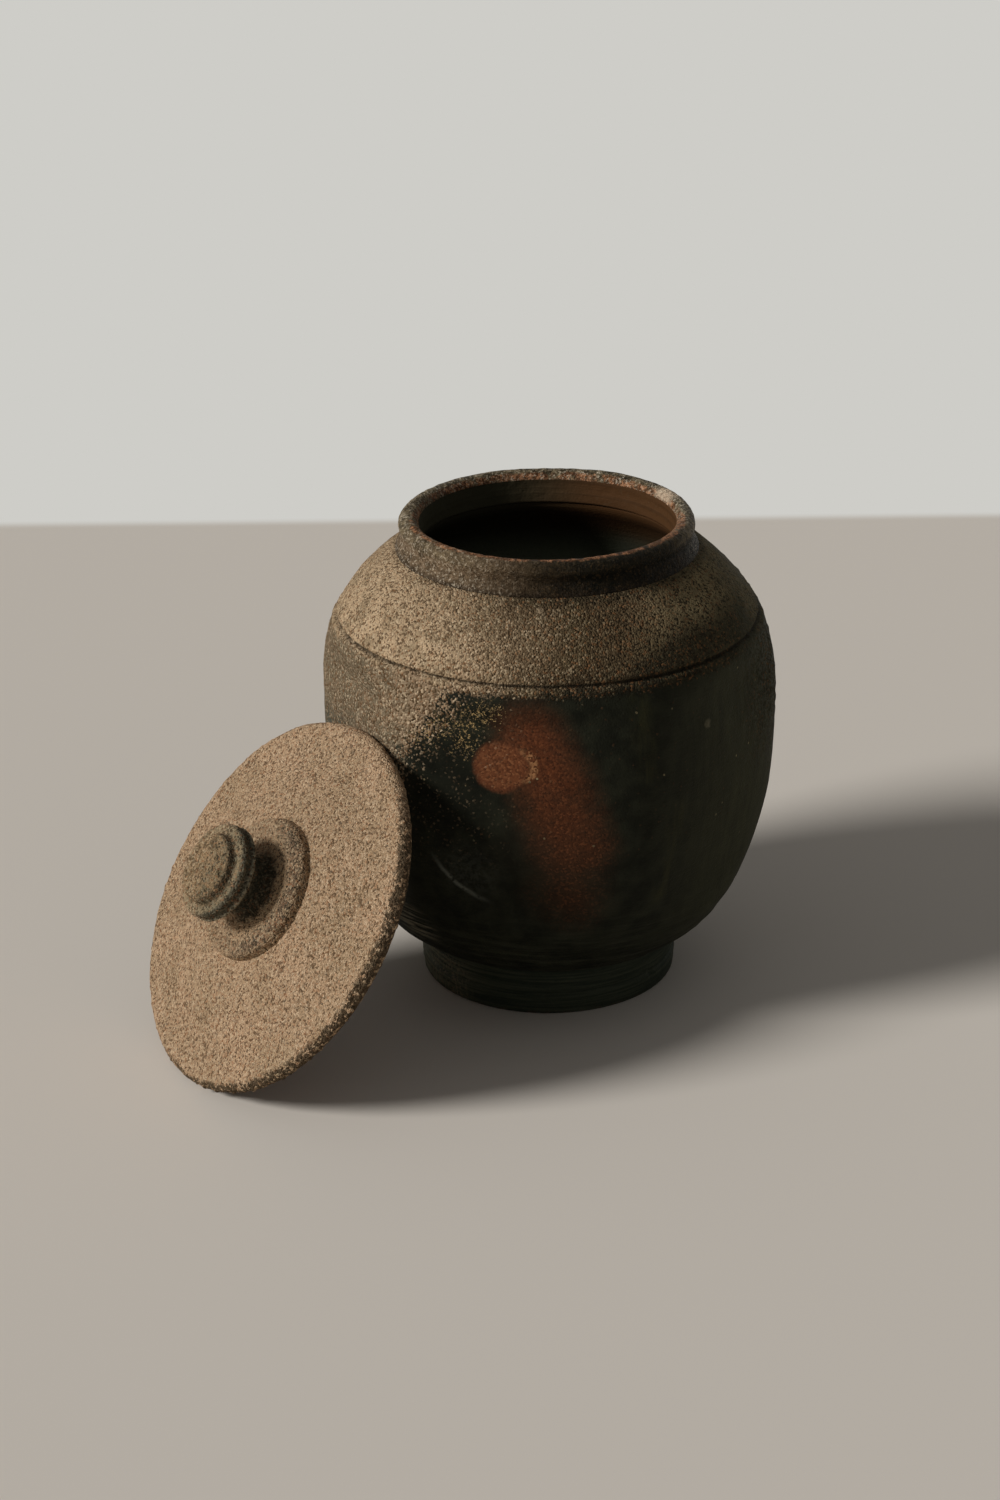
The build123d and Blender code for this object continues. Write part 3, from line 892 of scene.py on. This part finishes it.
def collar_finish():
    """Brown-black lip with ash on its left, back and crest, light flecks all over that are partly painted
    highlights, and bare rust clay at its mouth.
    """
    f = Finish("ash_lip")
    mottle = f.noise(4.5, 4, 0.62)
    heap, grains = f.grains(0.62, f.wobbled(1.6, 0.35))
    wind = windward(f)
    ash = f.step(f.plus(wind, f.swing(mottle, 24)), 15, 38)
    base = f.mix(f.step(wind, 2, 28), (17, 18, 12), (64, 50, 33))
    base = f.over(base, (126, 105, 81), ash)
    dim = f.times(f.step(mottle, 0.5, 0.62), 0.75)
    base = f.mix(dim, base, f.mix(ash, (30, 24, 16), (78, 64, 46)))
    base, back = lip_crest(f, base, mottle, wind)
    base = f.over(base, (30, 24, 17), f.step(f.z, 130.0, 128.4), 0.6)
    side = f.times(f.step(f.z, 132.4, 131.4), f.step(f.noise(2.5, 3, 0.7), 0.42, 0.56))
    base = f.over(base, (52, 42, 29), side, 0.35)
    base = f.over(base, (22, 18, 12), f.step(grains[0], 0.4, 0.0), 0.2)
    peel = f.noise(0.9, 3, 0.8, f.wobbled(2, 0.5))
    dark = f.mix(ash, (24, 19, 12), (58, 46, 32))
    base = f.mix(f.times(f.step(peel, 0.47, 0.38), 0.5), base, dark)
    # Light flecks all over, palest on the ash and the back: partly ash, partly painted highlights.
    bright = f.mix(f.most(ash, back), (84, 66, 44), (226, 210, 184))
    base = f.mix(f.times(f.step(peel, 0.53, 0.63), 0.5), base, bright)
    turned = f.noise(0.9, 2, 0.5, f.stretched(50, 50, 1))
    bumps = (turned, 0.2), (mottle, 0.3), (peel, 0.8), (f.rest(heap), 0.2)
    return f.finish(base, f.plus(0.5, f.times(ash, 0.2)), 0.06, bumps)


def foot_finish():
    """Dark grey-green trimmed clay."""
    f = Finish("trimmed_foot")
    lines = f.noise(0.8, 2, 0.6, f.stretched(30, 30, 1))
    base = f.mix(f.step(lines, 0.35, 0.7), (44, 50, 40), (66, 70, 56))
    base = f.over(base, (122, 120, 98), f.step(f.x, -14, -32), f.step(lines, 0.3, 0.65), 0.5)
    pale = f.times(f.spot((-31, -20, 4), 6, 15), f.step(f.noise(0.9, 2), 0.5, 0.62))
    base = f.over(base, (128, 114, 92), pale, 0.6)
    worn = f.times(f.step(f.z, 1.2, 0.3), f.step(f.noise(3, 2), 0.4, 0.6))
    base = f.over(base, (84, 64, 46), worn, 0.5)
    return f.finish(base, 0.62, 0.08, ((lines, 0.2), (f.noise(0.7, 2), 0.2)))


def grain_layers(f, base, dark, light):
    """A crust's fine grains: their colour over a base, and their height."""
    heap, grains = f.grains(0.54)
    fine = f.noise(0.34, 1)
    base = f.mix(f.times(f.step(grains[0], 0.38, 0.1), 0.85), base, dark)
    base = f.mix(f.times(f.step(grains[0], 0.68, 0.95), 0.6), base, light)
    base = f.over(base, (166, 112, 74), f.step(grains[1], 0.84, 0.94), 0.42)
    base = f.over(base, (112, 104, 88), f.step(grains[2], 0.88, 0.97), 0.42)
    base = f.mix(f.times(f.step(fine, 0.46, 0.3), 0.6), base, dark)
    base = f.mix(f.times(f.step(fine, 0.56, 0.7), 0.3), base, light)
    return base, f.plus(f.times(heap, -1.0), f.times(fine, 0.6), 1.0)


def lid_finish(pose):
    """Warm granular crust of fine grains, dark and coarse on the edge to leeward."""
    f = Finish("sandy_lid", pose)
    base = f.mix(f.step(f.noise(13, 3), 0.3, 0.7), lid_sand, lid_brown)
    base = f.over(base, (138, 116, 86), f.step(f.noise(6, 3, 0.6), 0.5, 0.72), 0.28)
    base, grit = grain_layers(f, base, (96, 73, 51), (214, 187, 154))
    leeward = f.plus(f.times(f.x, lid_lee[0] / lid_radius), f.times(f.y, lid_lee[1] / lid_radius))
    rim = f.step(f.plus(f.radius, f.times(f.noise(3.5), 2.0)), 51.6, 53.2)
    rim = f.times(rim, f.step(leeward, -0.1, 0.5))
    crumb = f.step(f.plus(f.noise(1.3, 2, 0.6), f.times(rim, 0.12)), 0.5, 0.6)
    base = f.over(base, (60, 50, 36), rim, crumb, 0.85)
    spots, picks = f.grains(1.0)
    stones = f.times(f.step(picks[0], 0.7, 0.9), f.step(spots, 0.55, 0.3), f.step(f.noise(3, 2), 0.4, 0.6))
    base = f.over(base, (190, 166, 132), rim, stones, 0.75)
    base = f.over(base, (88, 72, 54), f.step(f.z, -1.2, -2.2), 0.4)
    return f.finish(base, 0.93, 0.06, ((f.noise(2.4, 3, 0.6), 0.08), (grit, 0.5)))


def cap_colour(f, base, away, lee, mottle):
    """The knob's cap: a paler lower lip as a painted highlight, a mottled flat top and a dark line at its
    step.
    """
    # Paler lower lip of the flange: painted highlight where it catches the light.
    lip = f.times(f.step(f.z, 21.5, 20.9), f.step(f.z, 19.7, 20.2), f.step(away, 12.4, 13.0))
    base = f.over(base, (160, 150, 126), lip, f.step(mottle, 0.3, 0.5), 0.75)
    flat = f.step(f.plus(f.z, f.times(away, -0.25)), 20.9, 21.5)
    top = f.mix(f.step(mottle, 0.44, 0.64), (156, 130, 97), (106, 91, 66))
    top = f.over(top, (146, 132, 104), f.step(away, 10.0, 11.2), 0.6)
    root = f.times(f.step(away, 11.0, 10.0), f.step(away, 8.6, 9.4), f.step(lee, -2, 8))
    base = f.mix(flat, base, top)
    return f.over(base, (56, 50, 38), root, f.step(f.noise(4, 2), 0.36, 0.5), flat, 0.7)


def knob_finish(pose):
    """Beige crust to windward; bare dark clay to leeward, where the knob held the ash off; painted shade
    round the waist under the flange, and a paler ring of painted light beside it.
    """
    f = Finish("knob_crust", pose)
    away_x = f.plus(f.x, -knob_off_centre)
    away = f.length(away_x, f.y)
    lee = f.plus(f.times(away_x, knob_lee[0]), f.times(f.y, knob_lee[1]), f.times(f.noise(4, 2), 5))
    mottle = f.noise(3, 3, 0.6)
    base = f.mix(f.step(mottle, 0.3, 0.7), (172, 143, 112), (150, 125, 96))
    # Darker clay beside the waist to leeward: bare of ash, and partly painted shade under the flange.
    bare_and_shaded = f.step(f.plus(away, f.times(mottle, 2)), 12.4, 10.6)
    bare_and_shaded = f.times(bare_and_shaded, f.step(lee, 2, 8), f.step(f.z, 17, 15))
    base = f.over(base, (40, 38, 28), bare_and_shaded, 0.85)
    # A paler ring round the waist to leeward: painted light, lifting the flange's shadow.
    ring = f.times(f.step(away, 10.6, 12), f.step(away, 16, 14), f.step(f.z, 14, 12), f.step(lee, 0, 6))
    base = f.over(base, (222, 184, 142), ring, 0.6)
    smoke = f.times(f.step(lee, 0, 7), f.step(f.plus(f.z, f.times(f.noise(5, 2), 1.6)), 11.5, 15.5))
    base = f.over(base, (78, 77, 64), smoke, 0.9)
    base = cap_colour(f, base, away, lee, mottle)
    brink = f.times(f.step(away, 15.6, 17.4), f.step(away, 20.4, 18.6), f.step(lee, 2, 10))
    brink = f.times(brink, f.step(f.noise(1.8, 2), 0.36, 0.52), f.step(f.z, 13, 11))
    base = f.over(base, (84, 64, 49), brink, 0.8)
    dark = f.mix(f.step(lee, -4, 8), (98, 75, 53), (56, 49, 37))
    base, grit = grain_layers(f, base, dark, f.mix(smoke, (200, 176, 142), (140, 130, 106)))
    # Darkened again over the grains: bare clay and painted shade beside the waist.
    base = f.over(base, (36, 35, 26), bare_and_shaded, 0.6)
    return f.finish(base, 0.88, 0.08, ((f.noise(2.4, 3, 0.6), 0.16), (grit, 0.5)))


def bare_finish(pose):
    """Unglazed clay under the lid, warm where it touched the lip."""
    f = Finish("bare_clay", pose)
    mottle = f.noise(9, 4, 0.6)
    away = f.plus(f.radius, f.times(mottle, 5))
    base = f.mix(f.step(mottle, 0.35, 0.65), (112, 80, 58), (140, 108, 80))
    base = f.over(base, (78, 62, 48), f.step(away, 43, 49))
    lines = f.noise(1.4, 2, 0.5, f.stretched(50, 50, 1))
    base = f.over(base, (70, 56, 44), f.step(f.noise(0.7, 1), 0.6, 0.7), 0.4)
    return f.finish(base, 0.82, 0.2, ((lines, 0.2), (f.noise(0.8, 2), 0.25)))


# ---------------------------------------------------------------- studio

table_half = 30000
table_depth = 380.0
table_fade = 5
wall_colour = colour(206, 205, 200)
table_colour = colour(228, 219, 207)


def seen_share(nodes):
    """1 for rays from the camera or off a mirror or glass, which see the backdrop, else 0."""
    path = nodes.node("LightPath").outputs
    return nodes.most(path["Is Camera Ray"], path["Is Glossy Ray"], path["Is Transmission Ray"])


def floor():
    """Plain pale floor. Past its far edge it takes the wall's colour."""
    corners = [(x * table_half * MM, y * table_half * MM, 0) for x, y in ((-1, -1), (1, -1), (1, 1), (-1, 1))]
    mesh = bpy.data.meshes.new("floor")
    mesh.from_pydata(corners, [], [(0, 1, 2, 3)])
    f = Finish("floor")
    far = f.step(f.y, table_depth - table_fade, table_depth + table_fade)
    f.coat(table_colour, 0.8, 0.1)
    glow = f.fill(f.node("Emission"), Color=wall_colour)
    f.fill(f.tree.nodes["Material Output"], Surface=f.blend(f.times(far, seen_share(f)), f.shader, glow))
    mesh.materials.append(f.material)
    add_object("floor", mesh)


def lamp(name, towards, softness, share):
    """Soft even light from one side. It gives a surface facing it a share of a plain white level."""
    data = bpy.data.lights.new(name, "SUN")
    data.angle = radians(softness)
    data.energy = share * pi
    add_object(name, data).rotation_euler = Vector(towards).to_track_quat("Z", "Y").to_euler()


def sky(level):
    """Even light all round, and a pale wall behind the part where that is seen or reflected."""
    world = bpy.data.worlds.new("studio")
    world.use_nodes = True
    bpy.context.scene.world = world
    w = Nodes(world.node_tree)
    even = w.fill(w.tree.nodes["Background"], Color=(level, level, level, 1))
    backdrop = w.fill(w.node("Background"), Color=wall_colour)
    towards = w.split(w.node("TexCoord").outputs["Generated"])["Y"]
    behind = w.node("MapRange", towards, -0.1, 0.1).outputs["Result"]
    seen = w.times(behind, seen_share(w))
    w.fill(w.tree.nodes["World Output"], Surface=w.blend(seen, even, backdrop))


def camera():
    """Long lens, looking down at the jar from in front."""
    data = bpy.data.cameras.new("camera")
    data.sensor_fit = "VERTICAL"
    data.sensor_height = 36
    data.lens = 85
    pitch = radians(23.298)
    roll = -0.00974
    distance = 1.00815
    aim = Vector((-0.01363, 0, 0.06588))
    eye = add_object("camera", data)
    eye.location = aim + distance * Vector((0, -cos(pitch), sin(pitch)))
    turn = Matrix.Rotation(pi / 2 - pitch, 4, "X") @ Matrix.Rotation(roll, 4, "Z")
    eye.rotation_euler = turn.to_euler()
    bpy.context.scene.camera = eye


pose = lid_pose()
thrown = inside_finish()
bare = bare_finish(pose)
jar_body(jar_finish(), thrown)
neck_collar(collar_finish(), thrown)
foot_ring(foot_finish())
lid_plate(pose, lid_finish(pose), bare)
lid_knob(pose, knob_finish(pose))
lid_ring(pose, bare)
floor()
lamp("window", (-0.81, -0.30, 0.50), 17, 0.85)
sky(0.15)
camera()
bpy.context.scene.view_settings.view_transform = "Standard"
